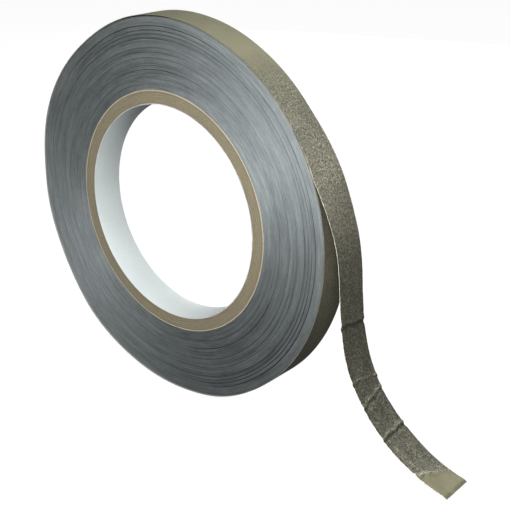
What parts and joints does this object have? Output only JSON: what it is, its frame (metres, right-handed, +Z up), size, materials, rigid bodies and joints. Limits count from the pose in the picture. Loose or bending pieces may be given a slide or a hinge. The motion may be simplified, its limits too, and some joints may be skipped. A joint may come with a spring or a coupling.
{
  "type": "copper foil tape roll",
  "caption": "Narrow roll of adhesive metal foil tape on a kraft paper core, standing on its rim, with its free end hanging off one side in soft creases.",
  "frame": {"origin": "lowest point of the roll's rim, at half the tape's width, where the standing roll touches what it stands on", "axes": "+Z up; +Y along the roll's axis, from the face seen beside the free end's foil side towards the other face; +X towards the side on which the free end hangs"},
  "size_m": [0.1828, 0.012, 0.1348],
  "materials": {
    "foil": "satin",
    "adhesive": "satin",
    "release_liner": "matte",
    "wound_edges": "satin",
    "core_kraft": "matte",
    "core_pale": "matte",
    "core_white": "matte"
  },
  "bodies": {
    "roll": {"core_inner_ply_white": "core_white", "core_kraft_ply_1": "core_kraft", "core_kraft_ply_2": "core_kraft", "core_kraft_ply_3": "core_kraft", "core_kraft_ply_4": "core_kraft", "core_kraft_ply_5": "core_kraft", "core_outer_ply_pale": "core_pale", "wound_turns_01": "wound_edges", "wound_turns_02": "wound_edges", "wound_turns_03": "wound_edges", "wound_turns_04": "wound_edges", "wound_turns_05": "wound_edges", "wound_turns_06": "wound_edges", "wound_turns_07": "wound_edges", "wound_turns_08": "wound_edges", "wound_turns_09": "wound_edges", "wound_turns_10": "wound_edges", "wound_turns_11": "wound_edges", "last_turn_foil": "foil", "last_turn_adhesive": "adhesive", "last_turn_liner": "release_liner"},
    "lift_1": {"lift_1_foil": "foil", "lift_1_adhesive": "adhesive", "lift_1_liner": "release_liner"},
    "lift_2": {"lift_2_foil": "foil", "lift_2_adhesive": "adhesive", "lift_2_liner": "release_liner"},
    "lift_3": {"lift_3_foil": "foil", "lift_3_adhesive": "adhesive", "lift_3_liner": "release_liner"},
    "tail_1": {"tail_1_foil": "foil", "tail_1_adhesive": "adhesive", "tail_1_liner": "release_liner"},
    "tail_2": {"tail_2_foil": "foil", "tail_2_adhesive": "adhesive", "tail_2_liner": "release_liner"},
    "tail_3": {"tail_3_foil": "foil", "tail_3_adhesive": "adhesive", "tail_3_liner": "release_liner"},
    "tail_4": {"tail_4_foil": "foil", "tail_4_adhesive": "adhesive", "tail_4_liner": "release_liner"},
    "tail_5": {"tail_5_foil": "foil", "tail_5_adhesive": "adhesive", "tail_5_liner": "release_liner"},
    "tail_6": {"tail_6_foil": "foil", "tail_6_adhesive": "adhesive", "tail_6_liner": "release_liner"},
    "tail_7": {"tail_7_foil": "foil", "tail_7_adhesive": "adhesive"},
    "liner_tab": {"tail_7_liner": "release_liner"}
  },
  "joints": [
    {"name": "lift_1_bend", "type": "hinge", "parent": "roll", "child": "lift_1", "pos_m": [-0.04327, 0, 0.11897], "axis": [0, -1, 0], "range_deg": [0, 30]},
    {"name": "lift_2_bend", "type": "hinge", "parent": "lift_1", "child": "lift_2", "pos_m": [-0.01169, 0, 0.13369], "axis": [0, -1, 0], "range_deg": [0, 30]},
    {"name": "lift_3_bend", "type": "hinge", "parent": "lift_2", "child": "lift_3", "pos_m": [0.02302, 0, 0.13065], "axis": [0, -1, 0], "range_deg": [0, 30]},
    {"name": "tail_1_bend", "type": "hinge", "parent": "lift_3", "child": "tail_1", "pos_m": [0.05157, 0, 0.11067], "axis": [0, -1, 0], "range_deg": [0, 40]},
    {"name": "tail_2_bend", "type": "hinge", "parent": "tail_1", "child": "tail_2", "pos_m": [0.06872, 0, 0.0829], "axis": [0, -1, 0], "range_deg": [0, 35]},
    {"name": "tail_3_bend", "type": "hinge", "parent": "tail_2", "child": "tail_3", "pos_m": [0.07444, 0, 0.04824], "axis": [0, -1, 0], "range_deg": [0, 40]},
    {"name": "tail_4_bend", "type": "hinge", "parent": "tail_3", "child": "tail_4", "pos_m": [0.07978, 0, 0.02957], "axis": [0, -1, 0], "range_deg": [-2, 45]},
    {"name": "tail_5_bend", "type": "hinge", "parent": "tail_4", "child": "tail_5", "pos_m": [0.08303, 0, 0.02452], "axis": [0, -1, 0], "range_deg": [-2, 45]},
    {"name": "tail_6_bend", "type": "hinge", "parent": "tail_5", "child": "tail_6", "pos_m": [0.0913, 0, 0.01557], "axis": [0, -1, 0], "range_deg": [-3, 45]},
    {"name": "tail_7_bend", "type": "hinge", "parent": "tail_6", "child": "tail_7", "pos_m": [0.10537, 0, 0.00704], "axis": [0, -1, 0], "range_deg": [-5, 45]},
    {"name": "liner_tab_peel", "type": "hinge", "parent": "tail_7", "child": "liner_tab", "pos_m": [0.10551, 0, 0.00699], "axis": [0, 1, 0], "range_deg": [0, 150]}
  ]
}
